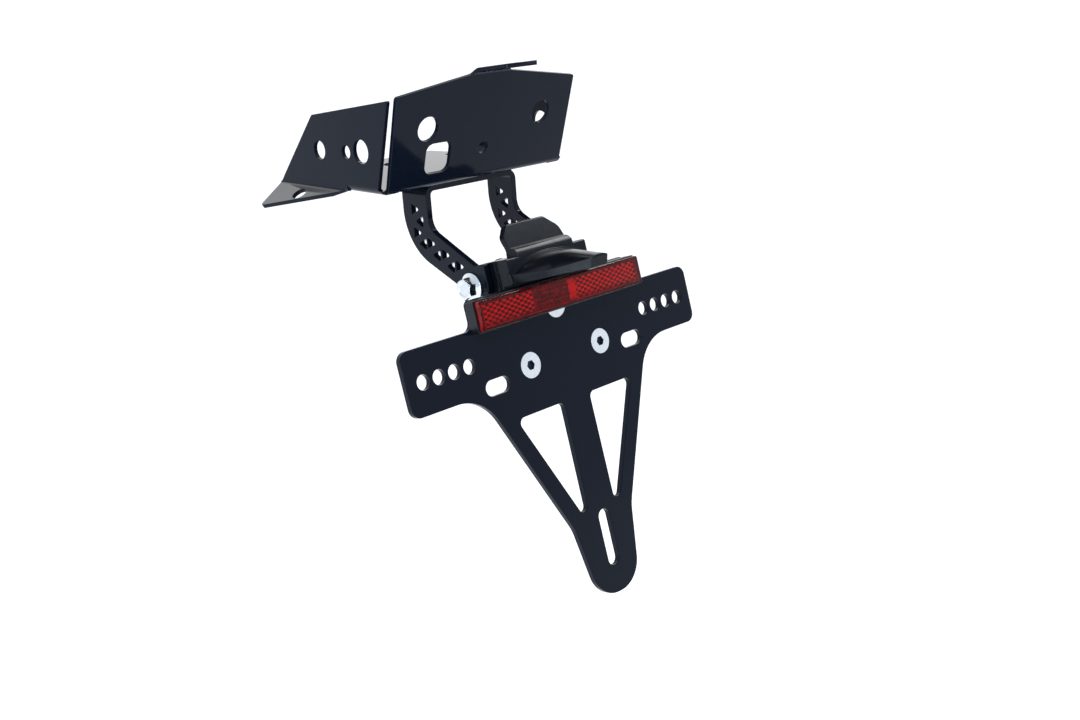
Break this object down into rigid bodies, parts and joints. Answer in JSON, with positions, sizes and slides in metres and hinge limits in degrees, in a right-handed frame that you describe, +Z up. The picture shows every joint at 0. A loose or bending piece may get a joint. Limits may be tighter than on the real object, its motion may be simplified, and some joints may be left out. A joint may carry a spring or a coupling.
{
  "type": "tail tidy",
  "caption": "Folded sheet tail bracket with curved drilled arms and a tilting number-plate carrier, with a plate light hood and a red reflector.",
  "frame": {"origin": "middle of the two holes in the bracket's base, on the upper face of the base", "axes": "+Z up, -Y towards the rear of the motorbike, X across; the bracket's base is level"},
  "size_m": [0.18, 0.1613, 0.2388],
  "materials": {
    "bracket_coat": "satin black powder coat",
    "arm_coat": "satin black powder coat",
    "carrier_coat": "satin black powder coat",
    "zinc": "bright zinc plate",
    "brass": "plain brass",
    "housing_plastic": "satin moulded black",
    "reflector_black": "moulded black",
    "reflector_red": "clear red with moulded prisms",
    "clear_lens": "clear",
    "seal_rubber": "soft black rubber",
    "board": "white solder mask",
    "led": "white LED packages"
  },
  "bodies": {
    "bracket": {"tail_bracket": "bracket_coat", "arm_bracket": "arm_coat", "bracket_screws": "zinc", "bracket_washers": "zinc", "bracket_nuts": "zinc"},
    "plate_holder": {"pivot_bolts": "zinc", "light_housing": "housing_plastic", "pivot_inserts": "brass", "plate_carrier": "carrier_coat", "plate_screws": "zinc", "plate_inserts": "brass", "reflector_base": "reflector_black", "reflector_lens": "reflector_red", "reflector_studs": "zinc", "reflector_washers": "zinc", "reflector_nuts": "zinc", "light_lens": "clear_lens", "lens_seal": "seal_rubber", "led_board": "board", "leds": "led", "cable_grommet": "seal_rubber"}
  },
  "joints": [
    {"name": "plate_tilt", "type": "hinge", "parent": "bracket", "child": "plate_holder", "pos_m": [0, -0.08214, -0.04485], "axis": [1, 0, 0], "range_deg": [-16, 13.6]}
  ]
}
